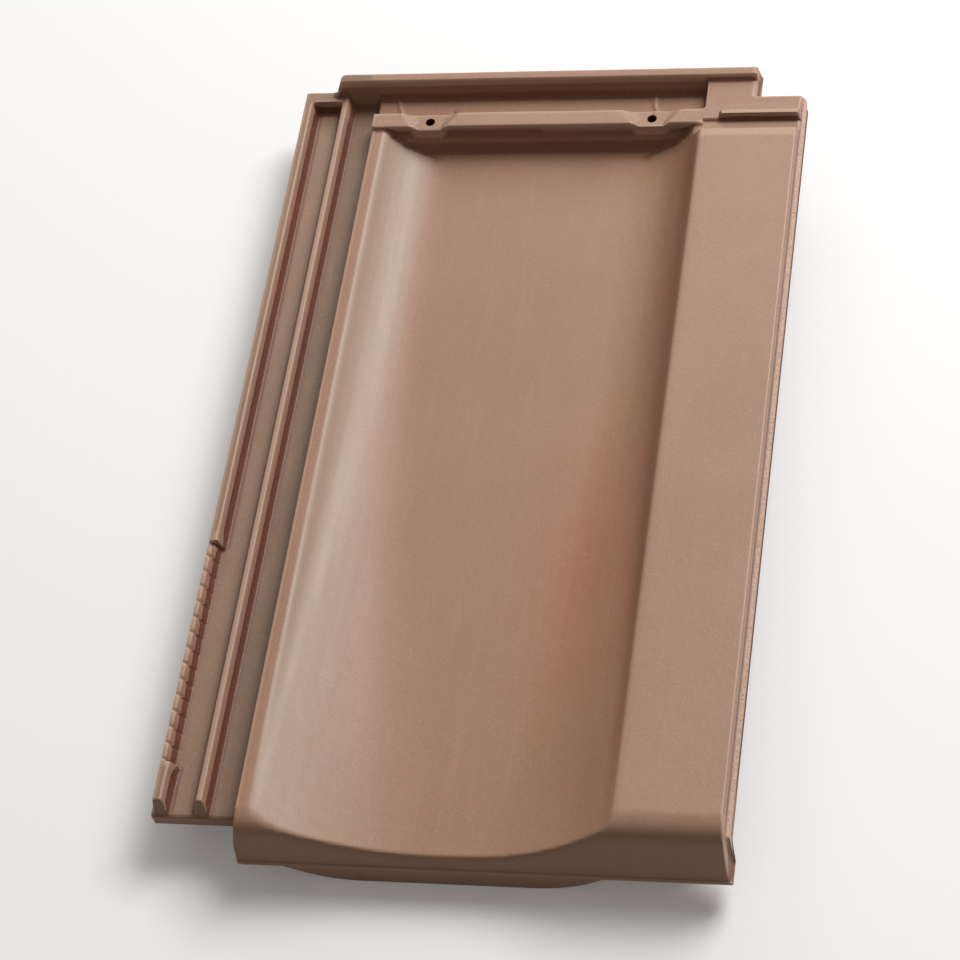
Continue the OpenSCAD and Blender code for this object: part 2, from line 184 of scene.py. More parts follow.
# The nail holes, and the width and side run of the recess round each, at its front and its back
NAIL_Y = Y_NAIL_RIB + 5.3
NAIL_XS = (-2.3 - 129.3 / 2, -2.3 + 129.3 / 2)
NAIL_D = 5.5
# Sides of a nail hole. With 36 or 40 the exact boolean left two stray triangles
NAIL_SIDES = 44
RECESS_W = (13, 22)
RECESS_RUN = (3.5, 6.5)

# Mould seams across the head channel and one hairline crack: place at the head, place at the foot
SEAMS = ((-92, -83.5), (60, 64))
SEAM_H = 0.8
SEAM_W = 1.5
CRACK = (-57, -54)
CRACK_D = 0.6
CRACK_W = 0.9

LUG_XS = (-55.0, 55.0)
LUG_W = 36

# The tile's outline: corners in plan, with the radius of each rounded one
OUTLINE = [
    (-HALF_W, Y_LOCK_EDGE), (X_LIP_FOOT, Y_LOCK_EDGE), (X_LIP_FOOT, -HALF_L), (HALF_W, -HALF_L),
    (HALF_W, Y_CORNER), (X_CORNER, Y_CORNER), (X_CORNER, HALF_L), (X_HEAD_RIB, HALF_L),
    (X_HEAD_RIB, Y_RIM), (-HALF_W, Y_RIM),
]
CORNER_ROUNDS = [
    (HALF_W, Y_CORNER, 3.5), (-HALF_W, Y_RIM, 1.3), (-HALF_W, Y_LOCK_EDGE, 0.8), (HALF_W, -HALF_L, 1.0),
    (X_LIP_FOOT, -HALF_L, 0.8), (X_CORNER, HALF_L, 1.2),
]
# Rounding of the outline's edges in section, and how far the right wall leans in at its foot
EDGE_ROUND = 0.7
WALL_LEAN = 0.9
# Unevenness of the upper side: height, size and seed of each ripple, and the drop that keeps it in the box
RIPPLES = ((0.16, 90, 3), (0.05, 14, 5))
SINK = 0.2
LEAST_THICKNESS = 0.4

# The mesh's lines: offsets about an edge, least gap, and the widest gap up to each place
EDGE_OFFSETS = (-0.95, -0.35, 0.35, 0.95)
LEAST_GAP = 0.3
GAPS_ACROSS = ((-102, 3), (-45, 2.2), (45, 4), (93, 2.2), (HALF_W, 4))
GAPS_ALONG = ((-218, 1.3), (Y_COMB_END, 4), (185, 8), (HALF_L, 2.5))


# ---------------------------------------------------------------- height maps

def arc_corner(before, corner, after, radius, steps=24):
    """The corner between two other points, rounded to a radius."""
    p, q, s = (np.array(v, dtype=float) for v in (before, corner, after))
    u = (p - q) / np.linalg.norm(p - q)
    v = (s - q) / np.linalg.norm(s - q)
    half = math.acos(float(u @ v)) / 2
    middle = q + (u + v) / np.linalg.norm(u + v) * radius / math.sin(half)
    first = q + u * radius / math.tan(half) - middle
    turn = math.pi - 2 * half
    side = -1 if u[0] * v[1] - u[1] * v[0] > 0 else 1
    out = []
    for i in range(steps + 1):
        a = side * turn * i / steps
        c, d = math.cos(a), math.sin(a)
        out.append(middle + np.array([first[0] * c - first[1] * d, first[0] * d + first[1] * c]))
    return out


def profile(at, corners):
    """Height along an outline of (place, height) or (place, height, radius) corners."""
    points = []
    for i, corner in enumerate(corners):
        if len(corner) == 3:
            points += arc_corner(corners[i - 1][:2], corner[:2], corners[i + 1][:2], corner[2])
        else:
            points.append(np.array(corner, dtype=float))
    points = np.array(points)
    return np.interp(at, points[:, 0], points[:, 1])


def within(value, start, end):
    """True from start up to, but not at, end."""
    return (value >= start) & (value < end)


def soft_min(first, second, reach):
    """The lower of two height maps, with the crease between them rounded over the given difference."""
    near = np.maximum(reach - np.abs(first - second), 0) / reach
    return np.minimum(first, second) - near**2 * reach / 4


def lock_height(x, y):
    """The two ribs and channels of the lock, with the clip comb in the outer rib, up to the lip."""
    in_comb = within(y, Y_COMB, Y_COMB_END)
    phase = (y - Y_COMB) / NOTCH_PITCH % 1.0
    scallop = SCALLOP_D * (2 * phase - 1) ** 4
    at_block = within(y, Y_COMB - BLOCK_L, Y_COMB)
    inset = np.where(in_comb, COMB_INSET + scallop, np.where(at_block, -BLOCK_PROUD, 0.0))
    outer = profile(x, [(-HALF_W, Z_OUTER), (-HALF_W + 1.5, Z_OUTER), (X_RIB, Z_RIB), (0, Z_RIB)])
    flank = profile(x + inset, [(X_RIB_IN, Z_RIB), (X_OUTER, Z_OUTER)])
    rest = profile(x, [
        (X_OUTER_IN, Z_OUTER), (X_INNER_RIB, Z_RIB), (X_INNER_RIB_IN, Z_RIB),
        (X_INNER, Z_INNER), (X_LIP_FOOT, Z_INNER), (X_LIP, Z_LIP),
    ])
    height = np.maximum(np.minimum(outer, flank), np.where(x > X_OUTER, rest, 0))
    notch = in_comb & (np.abs(phase - NOTCH_AT) < NOTCH_REACH) & within(x, X_RIB + 1.0, X_OUTER)
    end_notch = within(y, Y_END_NOTCH, Y_COMB_END) & within(x, X_RIB + 0.8, X_OUTER)
    height = np.where(notch, np.minimum(height, Z_RIB - NOTCH_D), height)
    return np.where(end_notch, np.minimum(height, Z_RIB - END_NOTCH_D), height)


def pan_height(x, y):
    """A trough with round sides that runs out into a broad hollow at the foot."""
    corners = [
        (X_PAN_LEFT - 2 * OVER, Z_LIP + 2 * OVER * math.tan(LEFT_SLOPE)),
        (X_FLOOR_LEFT, Z_PAN, PAN_ROUND),
        (X_FLOOR_RIGHT, Z_PAN, PAN_ROUND),
        (X_PAN_RIGHT + 2 * OVER, TOP + 2 * OVER * math.tan(RIGHT_SLOPE)),
    ]
    trough = sum(profile(x + shift, corners) for shift in PAN_SHIFTS) / len(PAN_SHIFTS)
    half = (X_PAN_RIGHT - X_PAN_LEFT) / 2
    t = (x - X_PAN_MID) / half
    rise_left, rise_right = (rise * np.abs(t) ** power for rise, power in (MOUTH_LEFT, MOUTH_RIGHT))
    rise = np.where(t < 0, rise_left, rise_right)
    mouth = Z_PAN + 1 + rise - (y - Y_FLASH) * math.tan(MOUTH_FALL)
    head_end = profile(y, [
        (-HALF_L, 0), (Y_NAIL_RIB - 12, Z_PAN - 0.1), (Y_NAIL_RIB - 6, Z_PAN, 8),
        (Y_NAIL_RIB, Z_PLATFORM), (HALF_L, Z_PLATFORM + OVER * 10),
    ])
    return np.maximum(-soft_min(-trough, -mouth, MOUTH_CREASE), head_end)


def apron_height(y, z_top):
    """The front from the flash up its leaning face and fillet to the height z_top."""
    return profile(y, [
        (-HALF_L, Z_FLASH), (Y_FLASH, Z_FLASH),
        (Y_FLASH + (z_top - Z_FLASH) * math.tan(APRON_LEAN), z_top, APRON_ROUND), (HALF_L, z_top),
    ])


def cover_height(x, y):
    """The flat cover with its trimmed ledge, and the groove, rain bar and platform at its head."""
    height = profile(x, [(0, TOP), (X_LEDGE - LEDGE_RUN, TOP), (X_LEDGE, Z_LEDGE), (HALF_W, Z_LEDGE)])
    head = profile(y, [
        (-HALF_L, TOP), (Y_GROOVE, TOP), (Y_GROOVE + 0.7, Z_GROOVE), (Y_RAIN_BAR, Z_GROOVE),
        (Y_RAIN_BAR + 0.1, Z_PLATFORM), (HALF_L, Z_PLATFORM),
    ])
    height = np.minimum(height, head)
    bar = (x > X_RAIN_BAR) & (x < X_LEDGE - 0.5) & within(y, Y_RAIN_BAR, Y_RAIN_BAR_BACK)
    height = np.where(bar, Z_RAIN_BAR, height)
    on_ledge = (x > X_CORNER_LEDGE) & (y > Y_CORNER_LEDGE)
    height = np.where(on_ledge, np.minimum(height, Z_LEDGE), height)
    return np.where((x > X_LEDGE) & (y < Y_LEDGE), np.minimum(height, Z_FLASH), height)


def nail_recess_height(x, y):
    """A shallow funnel in the nail rib round each nail hole, wider towards the head."""
    width = np.interp(y, (Y_NAIL_RIB, Y_NAIL_RIB_BACK), RECESS_W)
    run = np.interp(y, (Y_NAIL_RIB, Y_NAIL_RIB_BACK), RECESS_RUN)
    height = np.full_like(x, TOP)
    for nail_x in NAIL_XS:
        side = (np.abs(x - nail_x) - width / 2) * (Z_PLATFORM - Z_RECESS) / run
        height = np.minimum(height, Z_RECESS + np.maximum(side, 0))
    return height


def mould_seam(x, y, head_x, foot_x, width):
    """1 along the middle of a wandering line across the head channel, fading to 0 at its sides."""
    t = (y - Y_NAIL_RIB_BACK) / (Y_HEAD_RIB - Y_NAIL_RIB_BACK)
    middle = foot_x + (head_x - foot_x) * t + 0.5 * np.sin(t * 9)
    across = np.clip(1 - np.abs(x - middle) / width, 0, 1)
    return across * within(t, -0.12, 1.0)


def head_height(x, y):
    """The nail rib and the head channel, with their seams, between the lip and the cover."""
    height = profile(y, [
        (Y_NAIL_RIB, Z_PLATFORM), (Y_NAIL_RIB_BACK, Z_PLATFORM),
        (Y_CHANNEL, Z_HEAD_CHANNEL), (HALF_L, Z_HEAD_CHANNEL),
    ])
    height = np.minimum(height, nail_recess_height(x, y))
    for head_x, foot_x in SEAMS:
        height = height + SEAM_H * mould_seam(x, y, head_x, foot_x, SEAM_W)
    return height - CRACK_D * mould_seam(x, y, *CRACK, CRACK_W)


def head_rib_height(x, y):
    """The rib along the head's end. It leans down into the lock's inner channel."""
    front = TOP - (Y_HEAD_RIB - y) * (TOP - Z_HEAD_CHANNEL) / HEAD_RIB_RUN
    left = profile(x, [
        (X_HEAD_RIB - 3, Z_INNER - 3), (X_HEAD_RIB, Z_RIB), (X_INNER_RIB + 0.5, TOP, 4), (HALF_W, TOP),
    ])
    right = profile(x, [
        (-HALF_W, TOP), (X_CORNER_LEDGE, TOP), (X_CORNER_LEDGE + LEDGE_RUN, Z_LEDGE), (HALF_W, Z_LEDGE),
    ])
    return np.minimum(np.minimum(front, left), right)


def top_height(x, y):
    """The whole upper side."""
    left = x < 0
    base = np.where(left, lock_height(x, y), cover_height(x, y))
    apron = np.where(left, apron_height(y, Z_LIP), apron_height(y, TOP))
    height = np.minimum(base, soft_min(pan_height(x, y), apron, APRON_CREASE))
    flank = profile(x, [(X_LIP_FOOT, Z_INNER), (X_LIP, Z_PLATFORM + 5)])
    in_head = within(x, X_LIP_FOOT, X_PLATFORM) & (y >= Y_NAIL_RIB)
    height = np.where(in_head, np.minimum(head_height(x, y), flank), height)
    height = np.where(y < 0, np.minimum(height, apron), height)
    lock_front = Z_INNER + np.maximum(y - Y_LOCK, 0) * (Z_RIB + 1 - Z_INNER) / LOCK_FRONT_RUN
    height = np.where(x < X_LIP_FOOT, np.minimum(height, lock_front), height)
    rim = within(x, X_RIB, X_INNER_RIB) & (y > Y_RIM_IN)
    height = np.where(rim, np.maximum(height, Z_RIB), height)
    return np.maximum(height, np.where(y > Y_CHANNEL, head_rib_height(x, y), 0))


def foot_height(x, y):
    """The foot rib below the front edge, with its round ends and its sloping back."""
    edge = FOOT_HALF + FOOT_ROUND * math.tan(FOOT_END_SLOPE / 2)
    top = edge + OVER / math.tan(FOOT_END_SLOPE)
    across = profile(x, [
        (X_FOOT - top, OVER), (X_FOOT - edge, 0, FOOT_ROUND),
        (X_FOOT + edge, 0, FOOT_ROUND), (X_FOOT + top, OVER),
    ])
    back = profile(y, [
        (-HALF_L, 0), (Y_FOOT_BACK, 0), (Y_FOOT_BACK + 4, Z_PAN_UNDER + 1), (HALF_L, OVER * 9),
    ])
    return np.maximum(across, back)


def under_height(x, y):
    """The whole underside: the lock, the pan, the cover's ribs, the foot and the lugs."""
    height = profile(x, [
        (-HALF_W, Z_LOCK), (X_UNDER_LEFT - (Z_LOCK - Z_PAN_UNDER) / math.tan(LEFT_SLOPE), Z_LOCK),
        (X_UNDER_LEFT, Z_PAN_UNDER, 20), (X_UNDER_RIGHT, Z_PAN_UNDER, 20), (X_COVER_UNDER, Z_COVER_UNDER),
        (X_MID_RIB - UNDER_RIB_RUN, Z_COVER_UNDER), (X_MID_RIB, Z_COVER_RIB),
        (X_MID_RIB_IN, Z_COVER_RIB), (X_MID_RIB_IN + UNDER_RIB_RUN, Z_COVER_UNDER),
        (X_EDGE_RIB - UNDER_RIB_RUN, Z_COVER_UNDER), (X_EDGE_RIB, Z_COVER_RIB), (HALF_W, Z_COVER_RIB),
    ])
    in_head = within(x, X_LIP_FOOT, X_PAN_RIGHT) & (y > Y_HEAD_UNDER)
    height = np.where(in_head, Z_HEAD_UNDER, height)
    height = np.where((x > X_COVER_UNDER) & (y > Y_CORNER), Z_COVER_UNDER, height)
    wall = profile(y, [(-HALF_L, Z_WALL), (Y_WALL_FRONT, Z_WALL), (Y_WALL_BACK, Z_COVER_UNDER + 1)])
    height = np.where(x > X_LIP_FOOT, np.minimum(height, wall), height)
    height = np.minimum(height, foot_height(x, y))
    height = np.where((y < Y_FLASH) & (x > X_LIP_FOOT), Z_FLASH_UNDER, height)
    for lug_x in LUG_XS:
        lug = (np.abs(x - lug_x) < LUG_W / 2) & within(y, Y_LUG, Y_LUG_BACK)
        height = np.where(lug, 0, height)
    return height


def blurred(field, sigma):
    """Gaussian blur along both axes, with the border values repeated outwards."""
    reach = int(math.ceil(3 * sigma / FINE))
    taps = np.exp(-0.5 * (np.arange(-reach, reach + 1) * FINE / sigma) ** 2)
    taps /= taps.sum()
    for axis in (0, 1):
        pad = [(0, 0), (0, 0)]
        pad[axis] = (reach, reach)
        wide = np.pad(field, pad, mode="edge")
        count = field.shape[axis]
        field = sum(w * np.take(wide, np.arange(i, i + count), axis=axis) for i, w in enumerate(taps))
    return field


def edge_distance(x, y):
    """Distance in plan from the outline."""
    best = np.full_like(x, np.inf)
    for (ax, ay), (bx, by) in zip(OUTLINE, OUTLINE[1:] + OUTLINE[:1]):
        length2 = (bx - ax) ** 2 + (by - ay) ** 2
        t = np.clip(((x - ax) * (bx - ax) + (y - ay) * (by - ay)) / length2, 0, 1)
        best = np.minimum(best, np.hypot(x - ax - t * (bx - ax), y - ay - t * (by - ay)))
    return best


def ripple(x, y, size, seed):
    """Smooth unevenness between -1 and 1, of the given size in plan."""
    rng = np.random.default_rng(seed)
    total = np.zeros_like(x)
    waves = 8
    for _ in range(waves):
        angle = rng.uniform(0, math.pi)
        length = size * rng.uniform(0.6, 1.8)
        along = x * math.cos(angle) + y * math.sin(angle)
        total += np.sin(along * 2 * math.pi / length + rng.uniform(0, 6.3))
    return total / waves


# ---------------------------------------------------------------- mesh

def spread(low_end, high_end, exact, edges, gaps):
    """Sorted places: exact ones first, then four about each edge, then fill so that no gap is too wide."""
    kept = sorted(exact)
    for edge in edges:
        for offset in EDGE_OFFSETS:
            place = edge + offset
            if low_end < place < high_end and min(abs(place - k) for k in kept) > LEAST_GAP:
                kept.append(place)
    kept.sort()
    filled = [kept[0]]
    for place in kept[1:]:
        start = filled[-1]
        middle = (start + place) / 2
        widest = next(gap for limit, gap in gaps if middle <= limit)
        count = max(1, math.ceil((place - start) / widest))
        filled += [start + (place - start) * (i + 1) / count for i in range(count)]
    return np.array(filled)


def grid_lines():
    """The places of the mesh's lines across and along the tile."""
    recess_edges = (RECESS_W[0] / 2, RECESS_W[1] / 2 + 1.5)
    nail_edges = [nail_x + side * d for nail_x in NAIL_XS for side in (-1, 1) for d in recess_edges]
    lug_edges = [lug_x + d for lug_x in LUG_XS for d in (-LUG_W / 2, LUG_W / 2)]
    seam_places = [-91, -88, -85, 61, 63]
    across = spread(
        -HALF_W, HALF_W,
        [-HALF_W, X_HEAD_RIB, X_LIP_FOOT, X_CORNER, HALF_W],
        [
            -HALF_W, -HALF_W + 1.7, X_RIB_IN - 2, X_RIB_IN, X_OUTER - 2, X_OUTER, X_OUTER_IN, X_INNER_RIB,
            X_INNER_RIB_IN, X_INNER, X_LIP_FOOT, X_LIP, X_PAN_LEFT, X_PAN_LEFT + 2, X_PAN_RIGHT,
            X_COVER_UNDER, X_RAIN_BAR, X_MID_RIB - UNDER_RIB_RUN, X_MID_RIB, X_CORNER_LEDGE, X_CORNER,
            X_MID_RIB_IN + UNDER_RIB_RUN, X_EDGE_RIB - UNDER_RIB_RUN, X_EDGE_RIB, X_LEDGE - 3,
            X_LEDGE - LEDGE_RUN, X_LEDGE, HALF_W,
        ] + nail_edges + lug_edges + seam_places,
        GAPS_ACROSS,
    )
    notches = [Y_COMB + (i + NOTCH_AT) * NOTCH_PITCH for i in range(NOTCHES)]
    along = spread(
        -HALF_L, HALF_L,
        [-HALF_L, Y_LOCK_EDGE, Y_CORNER, Y_RIM, HALF_L],
        [
            -HALF_L, Y_FLASH, Y_LEDGE, Y_LOCK, Y_LOCK + 4, Y_WALL_FRONT, Y_WALL_BACK, Y_COMB, Y_END_NOTCH,
            Y_COMB_END, Y_GROOVE, Y_NAIL_RIB, Y_RAIN_BAR, Y_RAIN_BAR_BACK, Y_NAIL_RIB_BACK, Y_CHANNEL,
            Y_HEAD_UNDER, Y_LUG, Y_CORNER_LEDGE, Y_CORNER, Y_RIM_IN, Y_CHANNEL_BACK, Y_LUG_BACK,
            Y_HEAD_RIB, Y_RIM, HALF_L,
        ] + [y for notch in notches for y in (notch - 0.7, notch + 0.7)],
        GAPS_ALONG,
    )
    return across, along


def sampled(field, xs, ys):
    """A fine height map read at the mesh's lines."""
    u = (xs + HALF_W) / FINE
    v = (ys + HALF_L) / FINE
    i = np.clip(u.astype(int), 0, field.shape[0] - 2)
    j = np.clip(v.astype(int), 0, field.shape[1] - 2)
    fu = (u - i)[:, None]
    fv = (v - j)[None, :]
    i, j = i[:, None], j[None, :]
    near = field[i, j] * (1 - fu) + field[i + 1, j] * fu
    far = field[i, j + 1] * (1 - fu) + field[i + 1, j + 1] * fu
    return near * (1 - fv) + far * fv


def inside_outline(x, y):
    """True where a cell's middle lies on the tile."""
    lock_front = (x < X_LIP_FOOT) & (y < Y_LOCK_EDGE)
    corner = (x > X_CORNER) & (y > Y_CORNER)
    rim = (x < X_HEAD_RIB) & (y > Y_RIM)
    return ~(lock_front | corner | rim)


def round_plan_corners(x, y):
    """Moves the points near each outline corner onto its radius in plan."""
    for cx, cy, radius in CORNER_ROUNDS:
        sx = 1 if cx > 0 and cx != X_LIP_FOOT else -1
        sy = 1 if cy > 0 else -1
        u = sx * (x - cx) / radius + 1
        v = sy * (y - cy) / radius + 1
        near = (u > 0) & (v > 0) & (u <= 1.001) & (v <= 1.001)
        nu = u * np.sqrt(1 - v * v / 2 * near)
        nv = v * np.sqrt(1 - u * u / 2 * near)
        x = np.where(near, cx + sx * (nu - 1) * radius, x)
        y = np.where(near, cy + sy * (nv - 1) * radius, y)
    return x, y


def height_maps():
    """The finished upper side, its curvature and the underside, as fine height maps."""
    x, y = np.meshgrid(
        np.arange(-HALF_W, HALF_W + FINE, FINE), np.arange(-HALF_L, HALF_L + FINE, FINE), indexing="ij")
    near_edge = np.clip(EDGE_ROUND - edge_distance(x, y), 0, EDGE_ROUND)
    drop = EDGE_ROUND - np.sqrt(EDGE_ROUND**2 - near_edge**2)
    uneven = sum(height * ripple(x, y, size, seed) for height, size, seed in RIPPLES)
    top = blurred(top_height(x, y), BLUR) - drop + uneven - SINK
    under = blurred(under_height(x, y), BLUR) + drop
    return top, blurred(top, EDGE_SHADE_BLUR) - top, under


def closed_faces(solid, number):
    """Upper faces, lower faces and the walls between them. Lower points follow the upper ones in number."""
    count = number.size
    padded = np.pad(solid, 1)
    faces = []
    walls = []
    for i, j in zip(*np.nonzero(solid)):
        a, b, c, d = number[i, j], number[i + 1, j], number[i + 1, j + 1], number[i, j + 1]
        faces.append((a, b, c, d))
        faces.append((d + count, c + count, b + count, a + count))
        sides = (
            (padded[i + 1, j], a, b), (padded[i + 2, j + 1], b, c),
            (padded[i + 1, j + 2], c, d), (padded[i, j + 1], d, a),
        )
        for covered, p, q in sides:
            if not covered:
                walls.append((q, p, p + count, q + count))
    return np.array(faces + walls)


def surface_marks(x, y, curve):
    """What the material needs to know at each point of the upper side, by name."""
    on_apron = (x > X_LIP_FOOT) & (x < X_LEDGE - 1.5) & within(y, Y_FLASH + 1, Y_LEDGE + 6)
    in_pan = (x > X_LIP + 2) & (x < X_PAN_RIGHT + 1) & (y < Y_NAIL_RIB - 1)
    in_pan |= (x > X_LIP_FOOT + 1) & (y < -HALF_L + 22)
    in_pan |= (x > X_HEAD_RIB) & (y > Y_CHANNEL + 1)
    on_ledge = (x > X_LEDGE - 0.1) & (y > Y_LEDGE)
    on_left_edge = x < -HALF_W + 1.4
    on_flash = y < Y_FLASH - 0.4
    in_lock = x < X_LIP_FOOT - 1
    in_inner_channel = within(x, X_INNER_RIB_IN, X_LIP_FOOT - 1)
    return {
        # Curvature of the upper side, none on the apron: arrises get a painted highlight from it, creases a
        # painted shade
        "edge_light_crease_shade": np.where(on_apron, 0, curve),
        # The lock is painted greyer, and its inner channel darker still as painted shade from the lip
        "lock_grey_channel_shade": in_lock * 0.35 + in_inner_channel * 0.3,
        "pan": in_pan,
        "trimmed": on_ledge * 1.0 + on_left_edge * 0.5 + on_flash * 0.6,
    }


def tile_mesh():
    """One closed mesh from the two height maps, with walls round the outline."""
    top, curve, under = height_maps()
    xs, ys = grid_lines()
    grid_x, grid_y = np.meshgrid(xs, ys, indexing="ij")
    z_top = sampled(top, xs, ys)
    z_under = np.minimum(sampled(under, xs, ys), z_top - LEAST_THICKNESS)
    edge_x, edge_y = round_plan_corners(grid_x, grid_y)
    depth = np.clip((Z_LEDGE - z_under) / (Z_LEDGE - Z_COVER_RIB), 0, 1)
    inset = np.where(grid_x == xs[-1], depth * WALL_LEAN, 0)
    top_points = np.stack([edge_x, edge_y, z_top], axis=-1).reshape(-1, 3)
    under_points = np.stack([edge_x - inset, edge_y, z_under], axis=-1).reshape(-1, 3)
    points = np.concatenate([top_points, under_points])

    middle_x = (grid_x[:-1, :-1] + grid_x[1:, 1:]) / 2
    middle_y = (grid_y[:-1, :-1] + grid_y[1:, 1:]) / 2
    number = np.arange(grid_x.size).reshape(grid_x.shape)
    faces = closed_faces(inside_outline(middle_x, middle_y), number)
    used = np.unique(faces)
    renumber = np.full(len(points), -1)
    renumber[used] = np.arange(len(used))
    mesh = bpy.data.meshes.new("roof_tile_body")
    mesh.from_pydata((points[used] * MM).tolist(), [], renumber[faces].tolist())
    for name, values in surface_marks(grid_x, grid_y, sampled(curve, xs, ys)).items():
        mark(mesh, name, values, used)
    mesh.update()
    return mesh


def mark(mesh, name, values, used):
    """Stores one number a point for the material. The underside's points get 0."""
    both = np.concatenate([values.reshape(-1), np.zeros(values.size)])[used]
    layer = mesh.attributes.new(name, "FLOAT", "POINT")
    layer.data.foreach_set("value", both.astype(np.float32))


def make_tile():
    """The tile's body with its nail holes, shaded smooth but for its sharp edges."""
    body = bpy.data.objects.new("roof_tile_body", tile_mesh())
    bpy.context.scene.collection.objects.link(body)
    for x in NAIL_XS:
        drill(body, x, NAIL_Y, NAIL_D)
    body.data.set_sharp_from_angle(angle=math.radians(50))
    for face in body.data.polygons:
        face.use_smooth = True
    weighted = body.modifiers.new("even_shading", "WEIGHTED_NORMAL")
    weighted.keep_sharp = True
    return body


def drill(body, x, y, diameter):
    """Cuts a round hole right through the body."""
    bpy.ops.mesh.primitive_cylinder_add(
        vertices=NAIL_SIDES, radius=diameter / 2 * MM, depth=0.12, location=(x * MM, y * MM, 0.03))
    bit = bpy.context.object
    cut = body.modifiers.new("hole", "BOOLEAN")
    cut.operation = "DIFFERENCE"
    cut.solver = "EXACT"
    cut.object = bit
    depsgraph = bpy.context.evaluated_depsgraph_get()
    drilled = bpy.data.meshes.new_from_object(body.evaluated_get(depsgraph))
    body.modifiers.clear()
    old = body.data
    body.data = drilled
    bpy.data.meshes.remove(old)
    bpy.data.objects.remove(bit)


# ---------------------------------------------------------------- material

def linear(r, g, b):
    """A screen colour of 0 to 255 as linear light."""
    values = [c / 255 for c in (r, g, b)]
    return tuple(v / 12.92 if v <= 0.04045 else ((v + 0.055) / 1.055) ** 2.4 for v in values) + (1.0,)


def add(tree, kind, **settings):
    """A new node with the given settings."""
    node = tree.nodes.new(kind)
    for name, value in settings.items():
        setattr(node, name, value)
    return node


def attribute(tree, name):
    """A value that the mesh carries at each point."""
    return add(tree, "ShaderNodeAttribute", attribute_name=name).outputs["Fac"]


def noise(tree, coords, scale, detail=3.0, roughness=0.5, stretch=(1, 1, 1)):
    """Noise from 0 to 1. A larger number in stretch draws it finer along that axis."""
    mapping = add(tree, "ShaderNodeMapping")
    mapping.inputs["Scale"].default_value = stretch
    tree.links.new(coords, mapping.inputs["Vector"])
    texture = add(tree, "ShaderNodeTexNoise")
    texture.inputs["Scale"].default_value = scale
    texture.inputs["Detail"].default_value = detail
    texture.inputs["Roughness"].default_value = roughness
    tree.links.new(mapping.outputs["Vector"], texture.inputs["Vector"])
    return texture.outputs["Fac"]


def ranged(tree, value, low_end, high_end, low_out=0.0, high_out=1.0):
    """Turns the span low_end to high_end smoothly into low_out to high_out."""
    node = add(tree, "ShaderNodeMapRange", clamp=True, interpolation_type="SMOOTHSTEP")
    tree.links.new(value, node.inputs["Value"])
    ends = {"From Min": low_end, "From Max": high_end, "To Min": low_out, "To Max": high_out}
    for name, number in ends.items():
        node.inputs[name].default_value = number
    return node.outputs["Result"]


def blend(tree, factor, first, second):
    """Mixes two colours. Each is a socket or a tuple."""
    node = add(tree, "ShaderNodeMix", data_type="RGBA")
    tree.links.new(factor, node.inputs["Factor"])
    for name, value in (("A", first), ("B", second)):
        socket = next(s for s in node.inputs if s.name == name and s.type == "RGBA")
        if isinstance(value, tuple):
            socket.default_value = value
        else:
            tree.links.new(value, socket)
    return next(s for s in node.outputs if s.type == "RGBA")


def calc(tree, operation, *values):
    """One step of arithmetic on sockets and numbers."""
    node = add(tree, "ShaderNodeMath", operation=operation)
    for i, value in enumerate(values):
        if isinstance(value, (int, float)):
            node.inputs[i].default_value = value
        else:
            tree.links.new(value, node.inputs[i])
    return node.outputs[0]


def flame_patch(tree, coords):
    """A reddish cloud low in the pan, right of its middle, where the kiln's flame coloured it."""
    shift = add(tree, "ShaderNodeVectorMath", operation="SUBTRACT")
    shift.inputs[1].default_value = (0.054, -0.078, 0.02)
    tree.links.new(coords, shift.inputs[0])
    squeeze = add(tree, "ShaderNodeVectorMath", operation="MULTIPLY")
    squeeze.inputs[1].default_value = (30, 9, 0)
    tree.links.new(shift.outputs[0], squeeze.inputs[0])
    length = add(tree, "ShaderNodeVectorMath", operation="LENGTH")
    tree.links.new(squeeze.outputs[0], length.inputs[0])
    ragged = calc(tree, "ADD", length.outputs["Value"], noise(tree, coords, 45, 4))
    return ranged(tree, ragged, 1.9, 0.3)


def engobe(tree, coords, facing, clouds, streaks, in_pan):
    """The matt grey-brown coat: the pan's flat floor darker and redder as painted shade, a painted sheen on
    the pan's slopes that face right and painted shade on those that face left, the lock greyer with painted
    shade in its inner channel.
    """
    coat = blend(tree, ranged(tree, clouds, 0.35, 0.65), linear(171, 133, 107), linear(165, 128, 103))
    # Painted shade: the pan's flat floor turns darker and redder, for the weaker reflection it catches than
    # the cover
    level = calc(tree, "MULTIPLY", in_pan, ranged(tree, facing["Z"], 0.94, 0.99))
    coat = blend(tree, calc(tree, "MULTIPLY", level, 0.35), coat, linear(160, 112, 84))
    # Painted sheen: slopes in the pan that face right, towards the key lamp, turn light grey-beige
    painted_sheen = calc(tree, "MULTIPLY", in_pan, ranged(tree, facing["X"], 0.05, 0.5))
    coat = blend(tree, calc(tree, "MULTIPLY", painted_sheen, 0.55), coat, linear(172, 150, 132))
    # Painted shade: slopes in the pan that face left, away from the key lamp, turn dark red-brown
    painted_slope_shade = calc(tree, "MULTIPLY", in_pan, ranged(tree, facing["X"], -0.1, -0.6))
    coat = blend(tree, calc(tree, "MULTIPLY", painted_slope_shade, 0.4), coat, linear(152, 98, 66))
    # Greyer lock, with painted shade in the inner channel
    coat = blend(tree, attribute(tree, "lock_grey_channel_shade"), coat, linear(112, 90, 72))
    coat = blend(tree, ranged(tree, streaks, 0.5, 0.8, 0, 0.25), coat, linear(178, 142, 118))
    return blend(tree, calc(tree, "MULTIPLY", flame_patch(tree, coords), 0.6), coat, linear(172, 106, 78))


